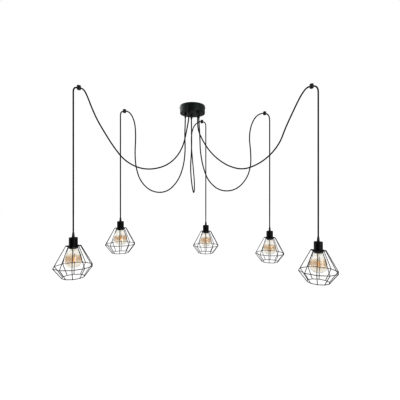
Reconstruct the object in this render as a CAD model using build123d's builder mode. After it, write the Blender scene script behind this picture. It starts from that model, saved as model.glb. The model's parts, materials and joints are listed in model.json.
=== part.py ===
from build123d import *
import math
import os

# Five-drop ceiling pendant: a round canopy, five cords that swag to ceiling hooks and hang down, and on
# each cord a lamp holder with a ten-sided wire cage round a globe bulb. Millimetres. The origin is the
# middle of the canopy on the ceiling. +Z is up, +X right, +Y away from the viewer.

# Small running and seating clearances.
slip = 0.1
seat_gap = 0.3
cord_gap = 0.5

# Round pieces that repeat five times are drawn with flat sides, to keep their faces few.
round_sides = 12
small_sides = 8

# Cord: two cores in a woven sleeve.
cord_d = 6.4
cord_sides = 4
cord_tail = 10.0
cord_r = cord_d / 2
cord_bore_r = cord_r + cord_gap

# Canopy: a pressed steel cup, open to the ceiling.
canopy_d = 148.0
canopy_h = 44.0
canopy_wall = 1.2
canopy_edge = 2.0
canopy_sides = 48
canopy_r = canopy_d / 2
canopy_inner_r = canopy_r - canopy_wall

# Ceiling bracket: a strap with a tab turned down at each end.
bracket_w = 26.0
bracket_t = 2.0
tab_h = 16.0
slot_span = 80.0
slot_w = 4.6
slot_l = 14.0
bracket_half = math.sqrt(canopy_inner_r**2 - (bracket_w / 2) ** 2) - seat_gap

# Cover screws, one through each side of the canopy into a tab.
cover_screw_d = 3.9
cover_screw_head_d = 7.0
cover_screw_head_h = 2.4
cover_screw_drop = 10.0
cover_hole_d = 4.4
tab_hole_d = cover_screw_d + 2 * slip

# Terminal block, seated under the strap.
block_l = 44.0
block_w = 22.0
block_h = 15.0
block_way_d = 4.2
block_ways = 3
block_pitch = 13.0

# Cable glands in the canopy's floor, on one pitch circle, each with a nut inside.
gland_count = 5
gland_pcd = 86.0
gland_first_deg = -44.0
gland_d = 13.0
gland_tip_d = 9.4
gland_h = 20.0
gland_collar_h = 4.0
gland_neck_d = 9.8
gland_neck_h = 9.0
gland_hole_d = gland_neck_d + 4 * slip
nut_corners_d = 15.0
nut_h = 3.0
nut_hole_d = gland_neck_d + 2 * slip

# Ceiling hooks: a small cylinder with a cross bore that the cord runs through, and a screw that clamps it.
hook_d = 18.0
hook_h = 20.0
hook_edge = 1.5
hook_bore_d = 7.8
hook_flare = 1.0
hook_thread_d = 4.2
hook_thread_l = 4.5
clamp_screw_d = 3.9
clamp_hole_d = clamp_screw_d + 2 * slip
hook_mid = hook_h / 2

# Places of the hooks on the ceiling, as shares of the span, and how far each bore is turned from the line
# between its gland and itself.
span = 1126.0
hook_place_shares = [
    (-0.484, -0.2647), (-0.3721, 0.0488), (0.0515, 0.2504), (0.4014, 0.087), (0.516, -0.2806),
]
hook_turns = [0.0, 0.0, -62.0, 0.0, 0.0]

# A cord runs straight in and out of its hook, and beyond it turns down in two bends of an eighth of a
# turn, each between runs of its own length.
hook_lead = 20.0
hook_tail = 14.0
bend_runs = [15.0, 17.0, 20.0, 28.0, 22.0]
gland_lead = 20.0
lean_share = math.sqrt(0.5)

# Each cord's free line from gland to hook, chosen by hand: the share of the way between them, and in
# shares of the depth of the deepest swag, the distance to the left of that way and the distance below
# the ceiling.
swag_depth = 511.0
swag_route_shares = [
    [
        (0.03, 0, 0.323), (0.06, 0, 0.476), (0.13, 0, 0.614), (0.235, 0, 0.714),
        (0.37, 0, 0.763), (0.50, 0, 0.759), (0.63, 0, 0.685), (0.72, 0, 0.558),
        (0.79, 0, 0.434), (0.858, 0, 0.303), (0.905, 0, 0.18), (0.935, 0, 0.086),
    ],
    [
        (0.01, 0, 0.337), (0.0, 0, 0.515), (0.03, 0, 0.701), (0.12, 0, 0.873),
        (0.30, 0, 1), (0.54, 0, 0.996), (0.73, 0, 0.873), (0.81, 0, 0.697),
        (0.825, 0, 0.517), (0.81, 0, 0.348), (0.82, 0, 0.18), (0.875, 0, 0.07),
    ],
    [
        (0.02, 0, 0.337), (0.05, 0.006, 0.515), (0.10, 0.028, 0.693), (0.22, 0.032, 0.869),
        (0.42, 0.038, 0.994), (0.66, 0.059, 0.988), (0.84, 0.082, 0.857), (0.92, 0.108, 0.685),
        (0.95, 0.129, 0.513), (0.965, 0.145, 0.341), (0.975, 0.145, 0.176), (0.985, 0.11, 0.067),
    ],
    [
        (0.015, 0, 0.337), (0.02, 0, 0.515), (0.06, 0, 0.701), (0.14, 0, 0.871),
        (0.32, 0, 0.986), (0.55, 0, 0.971), (0.72, 0, 0.834), (0.785, 0, 0.665),
        (0.78, 0, 0.489), (0.755, 0, 0.323), (0.787, 0, 0.17), (0.86, 0, 0.063),
    ],
    [
        (0.004, 0, 0.297), (0.062, 0, 0.434), (0.13, 0, 0.552), (0.225, 0, 0.659),
        (0.33, 0, 0.734), (0.45, 0, 0.771), (0.575, 0, 0.726), (0.68, 0, 0.642),
        (0.76, 0, 0.524), (0.80, 0, 0.393), (0.85, 0, 0.264), (0.895, 0, 0.151),
        (0.93, 0, 0.074),
    ],
]

# Cage: ten-sided, from a top plate out to a belt and in to a smaller open ring. Heights are above the belt.
cage_sides = 10
belt_r = 90.0
top_r = 34.9
ring_r = 50.9
top_h = 99.0
ring_drop = 51.5
wire_w = 2.6
plate_d = 56.0
plate_t = 1.5
foot_r = 21.5
plate_top = top_h - wire_w / 2
plate_under = plate_top - plate_t

# How far each belt hangs below the ceiling, as shares of the lowest, and how far each lamp has turned.
longest_drop = 895.0
drop_shares = [0.98, 0.924, 0.974, 0.9966, 1.0]
lamp_turns = [-69.0, -78.0, -95.0, -107.0, -117.0]

# Lamp holder: a metal cup over a moulded socket, with a ring that clamps the cage's plate from below.
holder_d = 40.0
holder_h = 42.0
holder_wall = 1.5
holder_edge = 1.5
holder_hole_d = 10.2
socket_d = 34.0
socket_below = 8.4
socket_way_d = 27.8
wiring_h = 10.0
shade_ring_d = 44.0
shade_ring_h = 9.0
shade_ring_edge = 1.2
socket_hole_d = socket_d + 8 * slip
holder_top = plate_top + holder_h
roof_under = holder_top - holder_wall
socket_top = roof_under - wiring_h
socket_under = plate_under - socket_below

# Cord grip on the holder.
grip_d = 12.6
grip_tip_d = 8.6
grip_h = 24.0
grip_collar_h = 7.0
grip_neck_d = 9.8
grip_neck_h = 9.0
drop_end_h = 6.0

# Bulb: pear-shaped glass, screw cap, and a stem that carries the filaments. The outline's rings are
# shares of the glass height above its lowest point, and of the globe's radius.
globe_d = 80.0
glass_wall = 1.2
glass_sides = 12
glass_outline_shares = [(0.0, 0.34), (0.11, 0.75), (0.31, 1.0), (0.53, 0.95), (0.74, 0.78), (0.9, 0.58)]
neck_d = 27.0
contact_above_plate = 15.1
bulb_l = 120.0
cap_d = 26.4
cap_l = 27.0
cap_taper_h = 4.0
cap_taper_d = 15.0
contact_d = 9.0
contact_h = 2.0
stem_foot_d = 18.0
stem_d = 6.0
stem_h = 34.0
stem_sides = 4
filament_d = 2.0
filament_l = 34.0
filament_ring_d = 18.0
filament_disc_t = 1.2
filament_count = 4
filament_twist_deg = 50.0
contact_top = plate_top + contact_above_plate
cap_under = contact_top - cap_l
glass_h = bulb_l - cap_l
glass_low = cap_under - glass_h


def turned(stations, sides, mode=Mode.ADD):
    """A round piece with flat sides, through rings at the given (height, radius) stations. Each stretch between
    two rings is drawn up from its wider ring, and turned over if it narrows downwards."""
    for one, other in zip(stations, stations[1:]):
        (wide_height, wide_radius), (height, radius) = sorted((one, other), key=lambda ring: -ring[1])
        length = abs(height - wide_height)
        drawn_in = (wide_radius - radius) * math.cos(math.pi / sides)
        wide = Plane.XY.offset(wide_height)
        with BuildSketch(wide) as ring:
            RegularPolygon(radius=wide_radius, side_count=sides)
        narrowing = math.degrees(math.atan(drawn_in / length))
        stretch = extrude(ring.sketch, amount=length, taper=narrowing, mode=Mode.PRIVATE)
        if height < wide_height:
            stretch = mirror(stretch, about=wide, mode=Mode.PRIVATE)
        add(stretch, mode=mode)


def trimmed_wire(start, end, side, trims):
    """A straight wire from start to end, run on past both points and cut back to the planes in trims."""
    start, end = Vector(*start), Vector(*end)
    along = (end - start).normalized()
    with BuildSketch(Plane(origin=start - along * 2 * wire_w, x_dir=side, z_dir=along)) as section:
        Rectangle(wire_w, wire_w)
    extrude(section.sketch, amount=(end - start).length + 4 * wire_w)
    for trim in trims:
        split(bisect_by=trim, keep=Keep.BOTTOM)


def write(part, label):
    part.label = label
    export_step(part, f"parts/{label}.step")


os.makedirs("parts", exist_ok=True)

# Canopy cover: cup with five gland holes in its floor and a screw hole in each side.
gland_angles = [gland_first_deg - n * 360 / gland_count for n in range(gland_count)]
gland_points = [
    Vector(gland_pcd / 2 * math.cos(math.radians(a)), gland_pcd / 2 * math.sin(math.radians(a)), 0)
    for a in gland_angles
]
floor_top = canopy_wall - canopy_h

with BuildPart() as canopy_cover:
    turned(
        [(0, canopy_r), (canopy_edge - canopy_h, canopy_r), (-canopy_h, canopy_r - canopy_edge)],
        canopy_sides,
    )
    offset(amount=-canopy_wall, openings=canopy_cover.faces().sort_by(Axis.Z)[-1])
    with BuildSketch(Plane.XY.offset(floor_top)):
        with Locations(*gland_points):
            RegularPolygon(radius=gland_hole_d / 2, side_count=small_sides)
    extrude(amount=-canopy_wall, mode=Mode.SUBTRACT)
    with BuildSketch(Plane.YZ):
        with Locations((0, -cover_screw_drop)):
            RegularPolygon(radius=cover_hole_d / 2, side_count=small_sides)
    extrude(amount=canopy_r, both=True, mode=Mode.SUBTRACT)
write(canopy_cover.part, "canopy_cover")

# Ceiling bracket: one bent strap, with slots for the ceiling screws and a threaded hole in each tab.
with BuildPart() as canopy_bracket:
    with BuildSketch(Plane.XZ):
        with BuildLine():
            Polyline(
                (-bracket_half, 0), (bracket_half, 0), (bracket_half, -tab_h),
                (bracket_half - bracket_t, -tab_h), (bracket_half - bracket_t, -bracket_t),
                (bracket_t - bracket_half, -bracket_t), (bracket_t - bracket_half, -tab_h),
                (-bracket_half, -tab_h), close=True,
            )
        make_face()
    extrude(amount=bracket_w / 2, both=True)
    with BuildSketch(Plane.XY):
        with Locations((-slot_span / 2, 0), (slot_span / 2, 0)):
            SlotOverall(slot_l, slot_w)
    extrude(amount=-bracket_t, mode=Mode.SUBTRACT)
    with BuildSketch(Plane.YZ):
        with Locations((0, -cover_screw_drop)):
            RegularPolygon(radius=tab_hole_d / 2, side_count=small_sides)
    extrude(amount=bracket_half, both=True, mode=Mode.SUBTRACT)
write(canopy_bracket.part, "canopy_bracket")

# Cover screws: flat heads on the canopy's side, shanks through its wall and the tab.
with BuildPart() as cover_screws:
    for side in (1, -1):
        seat = Plane(origin=(side * canopy_r, 0, -cover_screw_drop), x_dir=(0, 1, 0), z_dir=(side, 0, 0))
        with BuildSketch(seat):
            RegularPolygon(radius=cover_screw_head_d / 2, side_count=small_sides)
        extrude(amount=cover_screw_head_h)
        with BuildSketch(seat):
            RegularPolygon(radius=cover_screw_d / 2, side_count=small_sides)
        extrude(amount=bracket_half - bracket_t - canopy_r)
write(cover_screws.part, "cover_screws")

# Terminal block: moulded body with its wire ways running through.
with BuildPart() as terminal_block:
    with BuildSketch(Plane.XY.offset(-bracket_t)):
        Rectangle(block_l, block_w)
    extrude(amount=-block_h)
    with BuildSketch(Plane.XZ):
        with Locations((0, -bracket_t - block_h / 2)):
            with GridLocations(block_pitch, 0, block_ways, 1):
                RegularPolygon(radius=block_way_d / 2, side_count=small_sides)
    extrude(amount=block_w, both=True, mode=Mode.SUBTRACT)
write(terminal_block.part, "terminal_block")

# Cable gland: collar and tapered nose below the floor, threaded neck through it, and the cord's bore.
gland_base = -canopy_h
with BuildPart() as gland:
    turned(
        [
            (gland_base, gland_d / 2),
            (gland_base - gland_collar_h, gland_d / 2),
            (gland_base - gland_h, gland_tip_d / 2),
        ],
        small_sides,
    )
    turned([(gland_base, gland_neck_d / 2), (gland_base + gland_neck_h, gland_neck_d / 2)], small_sides)
    turned(
        [(gland_base - gland_h, cord_bore_r), (gland_base + gland_neck_h, cord_bore_r)],
        small_sides,
        mode=Mode.SUBTRACT,
    )

with BuildPart() as gland_nut:
    turned([(floor_top, nut_corners_d / 2), (floor_top + nut_h, nut_corners_d / 2)], 6)
    turned([(floor_top, nut_hole_d / 2), (floor_top + nut_h, nut_hole_d / 2)], small_sides, mode=Mode.SUBTRACT)

with BuildPart() as cord_glands:
    with Locations(*gland_points):
        add(gland.part)
write(cord_glands.part, "cord_glands")

with BuildPart() as gland_nuts:
    with Locations(*gland_points):
        add(gland_nut.part)
write(gland_nuts.part, "gland_nuts")

# Ceiling hook: cylinder with a flared cross bore along X, a threaded hole at the top for a ceiling stud,
# and a clamp screw from below. It is made at the origin and placed with its bore along the cord.
with BuildPart() as hook:
    turned(
        [(0, hook_d / 2), (hook_edge - hook_h, hook_d / 2), (-hook_h, hook_d / 2 - hook_edge)],
        round_sides,
    )
    with BuildSketch(Plane.YZ):
        with Locations((0, -hook_mid)):
            RegularPolygon(radius=hook_bore_d / 2, side_count=small_sides)
    extrude(amount=hook_d, both=True, mode=Mode.SUBTRACT)
    for side in (1, -1):
        mouth = Plane(origin=(side * hook_d / 2, 0, -hook_mid), x_dir=(0, 1, 0), z_dir=(side, 0, 0))
        with BuildSketch(mouth):
            RegularPolygon(radius=hook_bore_d / 2 + hook_flare, side_count=small_sides)
        extrude(amount=-2 * hook_flare, taper=math.degrees(math.atan(1 / 2)), mode=Mode.SUBTRACT)
    with BuildSketch(Plane.XY):
        Circle(hook_thread_d / 2)
    extrude(amount=-hook_thread_l, mode=Mode.SUBTRACT)
    with BuildSketch(Plane.XY.offset(-hook_h)):
        RegularPolygon(radius=clamp_hole_d / 2, side_count=small_sides)
    extrude(amount=hook_mid, mode=Mode.SUBTRACT)

with BuildPart() as clamp_screw:
    with BuildSketch(Plane.XY.offset(-hook_h)):
        RegularPolygon(radius=clamp_screw_d / 2, side_count=small_sides)
    extrude(amount=hook_mid - cord_r - slip)

# Plan directions: from each gland to its hook, and along each hook's bore.
glands = [gland_points[n] for n in (1, 2, 3, 4, 0)]
hooks = [Vector(x, y, 0) * span for x, y in hook_place_shares]
lines = [(hook_at - gland_at).normalized() for hook_at, gland_at in zip(hooks, glands)]
bores = [line.rotate(Axis.Z, turn) for line, turn in zip(lines, hook_turns)]
hook_seats = [
    Plane(origin=hook_at, x_dir=bore, z_dir=(0, 0, 1)).location for hook_at, bore in zip(hooks, bores)
]

with BuildPart() as ceiling_hooks:
    with Locations(*hook_seats):
        add(hook.part)
write(ceiling_hooks.part, "ceiling_hooks")

with BuildPart() as clamp_screws:
    with Locations(*hook_seats):
        add(clamp_screw.part)
write(clamp_screws.part, "clamp_screws")


def swag_points(number):
    """The cord's corners: down out of the gland, along its hand-chosen line, through the hook, and down."""
    gland_at, hook_at, line, bore = glands[number], hooks[number], lines[number], bores[number]
    reach = (hook_at - gland_at).length
    left = line.rotate(Axis.Z, 90)
    up = Vector(0, 0, 1)
    points = [gland_at + up * (cord_tail - canopy_h), gland_at - up * (canopy_h + gland_h + gland_lead)]
    for along, aside, below in swag_route_shares[number]:
        points.append(gland_at + line * (along * reach) + (left * aside - up * below) * swag_depth)
    bore_mid = hook_at - up * hook_mid
    points.append(bore_mid - bore * hook_lead)
    points.append(bore_mid + bore * hook_tail)
    points.append(points[-1] + (bore - up) * (bend_runs[number] * lean_share))
    points.append(points[-1] - up * bend_runs[number])
    return points


def corner_radii(points):
    """At each corner, 0.45 of the shorter run over the tangent of half the turn."""
    radii = []
    for before, corner, after in zip(points, points[1:], points[2:]):
        coming, going = corner - before, after - corner
        half_turn = math.radians(coming.get_angle(going)) / 2
        radii.append(0.45 * min(coming.length, going.length) / math.tan(half_turn))
    return radii


def cord_section():
    return 0.5 * cord_sides * cord_r**2 * math.sin(2 * math.pi / cord_sides)


# Swags: the cord from inside the canopy, through its gland and hook, to the top of the hanging stretch.
drop_tops = []
for number in range(len(hooks)):
    points = swag_points(number)
    radii = corner_radii(points)
    with BuildPart() as cord_swag:
        with BuildLine() as route:
            FilletPolyline(*points, radius=radii)
        with BuildSketch(Plane(origin=points[0], z_dir=points[1] - points[0])):
            RegularPolygon(radius=cord_r, side_count=cord_sides)
        sweep()
    length = route.wire().length
    share = cord_swag.part.volume / (cord_section() * length)
    print(f"swag {number + 1}: {length:.0f} mm, volume over section times length {share:.4f}")
    print("  radii", [round(radius) for radius in radii])
    write(cord_swag.part, f"cord_swag_{number + 1}")
    drop_tops.append(points[-1])

# Cage wires, made once beside the +X axis: foot on the plate, upper and lower strut, belt side and ring
# side. Each pair meets on a shared face, as butt-welded wires do.
tangent, up = (0, 1, 0), (0, 0, 1)
top_corner = Vector(top_r, 0, top_h)
belt_corner = Vector(belt_r, 0, 0)
ring_corner = Vector(ring_r, 0, -ring_drop)
strut_dir = (belt_corner - top_corner).normalized()
top_mitre = Plane(origin=top_corner, z_dir=Vector(1, 0, 0) + strut_dir)
side_deg = 360 / cage_sides
next_corner = Vector(1, 0, 0).rotate(Axis.Z, side_deg)
first_mitre = Plane(origin=(0, 0, 0), z_dir=(0, -1, 0))
next_mitre = Plane(origin=(0, 0, 0), z_dir=Vector(0, 1, 0).rotate(Axis.Z, side_deg))
foot_trim = Plane(origin=(foot_r, 0, 0), z_dir=(-1, 0, 0))

with BuildPart() as foot:
    trimmed_wire((foot_r, 0, top_h), top_corner, tangent, [foot_trim, top_mitre])

with BuildPart() as upper_strut:
    trimmed_wire(top_corner, belt_corner, tangent, [-top_mitre, -Plane.XY.offset(wire_w / 2)])

with BuildPart() as lower_strut:
    trimmed_wire(
        belt_corner,
        ring_corner,
        tangent,
        [Plane.XY.offset(-wire_w / 2), -Plane.XY.offset(wire_w / 2 - ring_drop)],
    )

with BuildPart() as belt_side:
    trimmed_wire(belt_corner, next_corner * belt_r, up, [first_mitre, next_mitre])

with BuildPart() as ring_side:
    trimmed_wire(ring_corner, next_corner * ring_r - Vector(0, 0, ring_drop), up, [first_mitre, next_mitre])

with BuildPart() as plate:
    turned([(plate_under, plate_d / 2), (plate_top, plate_d / 2)], round_sides)
    turned([(plate_under, socket_hole_d / 2), (plate_top, socket_hole_d / 2)], round_sides, mode=Mode.SUBTRACT)

wires = [
    wire.part.rotate(Axis.Z, corner * side_deg)
    for wire in (foot, upper_strut, lower_strut, belt_side, ring_side)
    for corner in range(cage_sides)
]
cage = Compound([plate.part.solid(), *[wire.solid() for wire in wires]])

# Cord grip: collar and tapered nose on the holder, neck through its top, and the cord's bore.
with BuildPart() as cord_grip:
    turned(
        [
            (holder_top, grip_d / 2),
            (holder_top + grip_collar_h, grip_d / 2),
            (holder_top + grip_h, grip_tip_d / 2),
        ],
        small_sides,
    )
    turned([(holder_top - grip_neck_h, grip_neck_d / 2), (holder_top, grip_neck_d / 2)], small_sides)
    turned(
        [(holder_top - grip_neck_h, cord_bore_r), (holder_top + grip_h, cord_bore_r)],
        small_sides,
        mode=Mode.SUBTRACT,
    )

# Lamp holder: metal cup whose rim stands on the plate.
with BuildPart() as lamp_holder:
    turned(
        [
            (plate_top, holder_d / 2),
            (holder_top - holder_edge, holder_d / 2),
            (holder_top, holder_d / 2 - holder_edge),
        ],
        round_sides,
    )
    turned(
        [(plate_top, holder_d / 2 - holder_wall), (roof_under, holder_d / 2 - holder_wall)],
        round_sides,
        mode=Mode.SUBTRACT,
    )
    turned(
        [(roof_under, holder_hole_d / 2), (holder_top, holder_hole_d / 2)], small_sides, mode=Mode.SUBTRACT
    )

# Socket: moulded body inside the cup, through the plate, with the cap's way, and room for its wires
# above it.
with BuildPart() as holder_socket:
    turned([(socket_under, socket_d / 2), (socket_top, socket_d / 2)], round_sides)
    turned([(socket_under, socket_way_d / 2), (contact_top, socket_way_d / 2)], round_sides, mode=Mode.SUBTRACT)

# Shade ring: clamps the plate up against the cup's rim.
with BuildPart() as shade_ring:
    turned(
        [
            (plate_under, shade_ring_d / 2),
            (plate_under - shade_ring_h + shade_ring_edge, shade_ring_d / 2),
            (plate_under - shade_ring_h, shade_ring_d / 2 - shade_ring_edge),
        ],
        round_sides,
    )
    turned(
        [(plate_under - shade_ring_h, socket_hole_d / 2), (plate_under, socket_hole_d / 2)],
        round_sides,
        mode=Mode.SUBTRACT,
    )


# Bulb glass: hollow pear shape that draws in to a short neck. The inside is one wall smaller all round.
outside = [
    (glass_low + up_share * glass_h, out_share * globe_d / 2)
    for up_share, out_share in glass_outline_shares
]
outside.append((cap_under, neck_d / 2))
inside = [(height, radius - glass_wall) for height, radius in outside]
inside[0] = (glass_low + glass_wall, inside[0][1])
with BuildPart() as bulb_glass:
    turned(outside, glass_sides)
    turned(inside, glass_sides, mode=Mode.SUBTRACT)

with BuildPart() as bulb_cap:
    turned(
        [
            (cap_under, cap_d / 2),
            (contact_top - contact_h - cap_taper_h, cap_d / 2),
            (contact_top - contact_h, cap_taper_d / 2),
        ],
        round_sides,
    )
    turned([(contact_top - contact_h, contact_d / 2), (contact_top, contact_d / 2)], small_sides)

# Filament stem: foot on the cap, slim stem, and slanted filaments between two discs.
disc_top = cap_under - stem_h
disc_under = disc_top - filament_l
with BuildPart() as bulb_filament:
    turned([(cap_under, stem_foot_d / 2), (disc_top, stem_d / 2)], stem_sides)
    for height in (disc_top - filament_disc_t, disc_under):
        with BuildSketch(Plane.XY.offset(height)):
            RegularPolygon(radius=filament_ring_d / 2 + filament_d, side_count=stem_sides)
        extrude(amount=filament_disc_t)
    for n in range(filament_count):
        low = Vector(filament_ring_d / 2, 0, disc_under + filament_disc_t)
        low = low.rotate(Axis.Z, n * 360 / filament_count)
        high = low.rotate(Axis.Z, filament_twist_deg)
        high = Vector(high.X, high.Y, disc_top - filament_disc_t)
        with BuildSketch(Plane(origin=low, z_dir=high - low)):
            Rectangle(filament_d, filament_d)
        extrude(amount=(high - low).length)

# Five lamps: each turned to its own angle at its belt's height, under the end of its swag.
lamp_pieces = {
    "cord_grip": cord_grip.part,
    "lamp_holder": lamp_holder.part,
    "holder_socket": holder_socket.part,
    "shade_ring": shade_ring.part,
    "cage": cage,
    "bulb_glass": bulb_glass.part,
    "bulb_cap": bulb_cap.part,
    "bulb_filament": bulb_filament.part,
}
for number, (top, share, turn) in enumerate(zip(drop_tops, drop_shares, lamp_turns), start=1):
    belt_z = -longest_drop * share
    with BuildPart() as cord_drop:
        drop_top = top.Z - seat_gap
        drop_end = belt_z + holder_top - drop_end_h
        with BuildSketch(Plane(origin=(top.X, top.Y, drop_top))):
            RegularPolygon(radius=cord_r, side_count=cord_sides)
        extrude(amount=drop_end - drop_top)
        chamfer(cord_drop.edges().group_by(Axis.Z)[-1], length=cord_r / 2)
    write(cord_drop.part, f"cord_drop_{number}")
    place = Location((top.X, top.Y, belt_z), (0, 0, turn))
    for name, piece in lamp_pieces.items():
        write(piece.moved(place), f"{name}_{number}")
    print(f"lamp {number}: axis {top.X:.2f}, {top.Y:.2f}, pivot {top.Z:.2f}, drop {drop_top - drop_end:.0f} mm")
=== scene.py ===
# %% [markdown]
# A ceiling pendant with five drops. Five woven cords leave a round black canopy, swag to small hooks in
# the ceiling and hang straight down, and each carries a lamp holder, a ten-sided wire cage and an amber
# globe bulb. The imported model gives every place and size. This lesson dresses it, one piece or finish at
# a time: each round piece is a profile turned about an axis, each wire and cord is a circle carried along
# a path, and both are worked out as whole numpy arrays before they go into a mesh.

# %% Load the frame
import json
import math

import bmesh
import bpy
import numpy as np
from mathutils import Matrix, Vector


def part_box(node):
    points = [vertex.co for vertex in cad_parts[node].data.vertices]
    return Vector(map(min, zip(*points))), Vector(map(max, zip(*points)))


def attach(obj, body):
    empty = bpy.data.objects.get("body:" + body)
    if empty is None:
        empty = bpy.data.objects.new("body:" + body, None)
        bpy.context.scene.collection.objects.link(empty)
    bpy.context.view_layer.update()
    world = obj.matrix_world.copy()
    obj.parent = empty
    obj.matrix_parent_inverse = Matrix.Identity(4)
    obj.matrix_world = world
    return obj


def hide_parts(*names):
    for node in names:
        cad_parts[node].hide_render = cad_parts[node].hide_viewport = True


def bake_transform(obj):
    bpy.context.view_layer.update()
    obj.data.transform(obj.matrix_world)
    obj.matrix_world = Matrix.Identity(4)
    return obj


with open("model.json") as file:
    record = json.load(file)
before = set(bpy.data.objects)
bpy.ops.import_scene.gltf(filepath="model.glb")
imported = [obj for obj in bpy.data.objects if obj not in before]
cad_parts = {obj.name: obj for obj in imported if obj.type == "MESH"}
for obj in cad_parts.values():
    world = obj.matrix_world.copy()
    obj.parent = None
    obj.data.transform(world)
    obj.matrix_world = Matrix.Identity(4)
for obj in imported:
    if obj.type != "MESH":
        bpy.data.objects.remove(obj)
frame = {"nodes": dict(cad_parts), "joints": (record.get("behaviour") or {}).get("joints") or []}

MM = 0.001
scene = bpy.context.scene
nodes = frame["nodes"]
joints = {joint["name"]: joint for joint in frame["joints"]}
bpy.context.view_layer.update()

# %% [markdown]
# The camera comes first. The photograph looks straight ahead, level with the swags, so the canopy is seen
# from below and the cages from above. Its field is wide: 277 pixels of the 400 cover one metre at one
# metre's distance. A level camera keeps the cords upright.

# %% Camera
photo_width = 400
photo_focal = 277
horizon_row = 200.6
sensor_width = 36
camera_place = (44.9 * MM, -1646.7 * MM, -560 * MM)
level_tilt_deg = 90

camera_data = bpy.data.cameras.new("photo_camera")
camera_data.sensor_width = sensor_width
camera_data.lens = photo_focal / photo_width * sensor_width
camera_data.shift_y = (horizon_row - photo_width / 2) / photo_width
camera = bpy.data.objects.new("photo_camera", camera_data)
camera.location = camera_place
camera.rotation_euler = (math.radians(level_tilt_deg), 0, 0)
scene.collection.objects.link(camera)
scene.camera = camera
print(f"camera: a lens of {camera_data.lens:.1f} mm over a {sensor_width} mm sensor")

# %% [markdown]
# Three small tools serve every finish. Colours are picked as sRGB hex values, as a colour picker shows
# them, and turned to the linear light that shaders add up. One function adds any node with its settings
# and links. One function starts a material with its Principled shader, and numbers that are the same all
# over are set on the shader's own sockets.

# %% Colours, nodes and materials
def colour(hex_value):
    """Linear RGBA of an sRGB hex value: a channel c becomes c / 12.92 up to 0.04045, and above that
    (c + 0.055) / 1.055 raised to 2.4."""
    channels = [int(hex_value[start:start + 2], 16) / 255 for start in (1, 3, 5)]
    linear = [c / 12.92 if c <= 0.04045 else ((c + 0.055) / 1.055) ** 2.4 for c in channels]
    return (*linear, 1)


def add_node(tree, kind, sockets=None, **settings):
    """A node of that kind. A socket's value is a number, a colour, or another node's output to link.
    Sockets go by name, or by number where several have one name: a mix node takes numbers on its sockets
    2 and 3 and gives output 0, and takes colours on 6 and 7 and gives output 2."""
    made = tree.nodes.new(kind)
    for name, value in settings.items():
        setattr(made, name, value)
    for name, value in (sockets or {}).items():
        if isinstance(value, bpy.types.NodeSocket):
            tree.links.new(value, made.inputs[name])
        else:
            made.inputs[name].default_value = value
    return made


def start_material(name, **sockets):
    """A new material and its node tree, with the Principled shader's sockets set by their names, where
    an underscore stands for a space."""
    material = bpy.data.materials.new(name)
    material.use_nodes = True
    tree = material.node_tree
    shader = tree.nodes["Principled BSDF"]
    for socket, value in sockets.items():
        shader.inputs[socket.replace("_", " ")].default_value = value
    return material, tree, shader


print("middle grey #808080 is", round(colour("#808080")[0], 3), "in linear light")

# %% [markdown]
# Black powder coat is a polyester powder, sprayed on steel and baked. It flows out to a satin skin with a
# faint orange peel about a millimetre across, which softens all that it mirrors. The canopy's coat is a
# shade greener and glossier than the holders', so its wall shows pale bands where it mirrors the sides of
# the studio, while the holders stay almost black and the wires nearly matt. A noise field in object
# coordinates gives the peel as bump, and a slower one makes the gloss drift a little.

# %% Coated steel
peel_depth_share = 0.1
gloss_patch = 30 * MM
gloss_drift = 0.06


def coated_steel(name, base, roughness, peel_mm, peel_strength, shine="#ffffff"):
    """Powder coat whose bump is noise of the peel's size, a tenth as deep, and whose roughness is moved
    by slower noise to each side. The shine tints what the skin mirrors."""
    material, tree, shader = start_material(
        name, Base_Color=colour(base), Roughness=roughness, IOR=1.5, Specular_Tint=colour(shine)
    )
    place = add_node(tree, "ShaderNodeTexCoord").outputs["Object"]
    peel = add_node(
        tree, "ShaderNodeTexNoise", {"Vector": place, "Scale": 1 / (peel_mm * MM), "Detail": 2.0}
    ).outputs["Fac"]
    drift = add_node(
        tree, "ShaderNodeTexNoise", {"Vector": place, "Scale": 1 / gloss_patch, "Detail": 3.0}
    ).outputs["Fac"]
    gloss = add_node(
        tree,
        "ShaderNodeMapRange",
        {"Value": drift, "To Min": roughness - gloss_drift, "To Max": roughness + gloss_drift},
    ).outputs["Result"]
    bump = add_node(
        tree,
        "ShaderNodeBump",
        {"Height": peel, "Strength": peel_strength, "Distance": peel_mm * MM * peel_depth_share},
    ).outputs["Normal"]
    tree.links.new(gloss, shader.inputs["Roughness"])
    tree.links.new(bump, shader.inputs["Normal"])
    return material


canopy_coat = coated_steel(
    "powder_coat_satin_green_black", "#101615", roughness=0.36, peel_mm=1.1, peel_strength=0.3,
    shine="#dcf0ec",
)
holder_coat = coated_steel(
    "powder_coat_satin_black", "#050505", roughness=0.5, peel_mm=0.9, peel_strength=0.3, shine="#a4a4a4"
)
wire_coat = coated_steel(
    "powder_coat_matt_black_wire", "#080707", roughness=0.6, peel_mm=0.8, peel_strength=0.4
)
hook_coat = coated_steel(
    "powder_coat_matt_black_hook", "#0a0a0a", roughness=0.5, peel_mm=0.8, peel_strength=0.3
)
print("coats:", ", ".join(coat.name for coat in (canopy_coat, holder_coat, wire_coat, hook_coat)))

# %% [markdown]
# The glands and cord grips are moulded nylon: mid-black, a little waxy, with a fine spark-eroded grain
# from the mould. The sockets inside the holders are a harder thermoset with a shinier skin, and the
# terminal block is a translucent off-white nylon. One function covers all three, because only colour,
# gloss and grain differ.

# %% Moulded plastics
grain_depth_share = 0.2
grain_strength = 0.25
light_depth = 2 * MM


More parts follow.
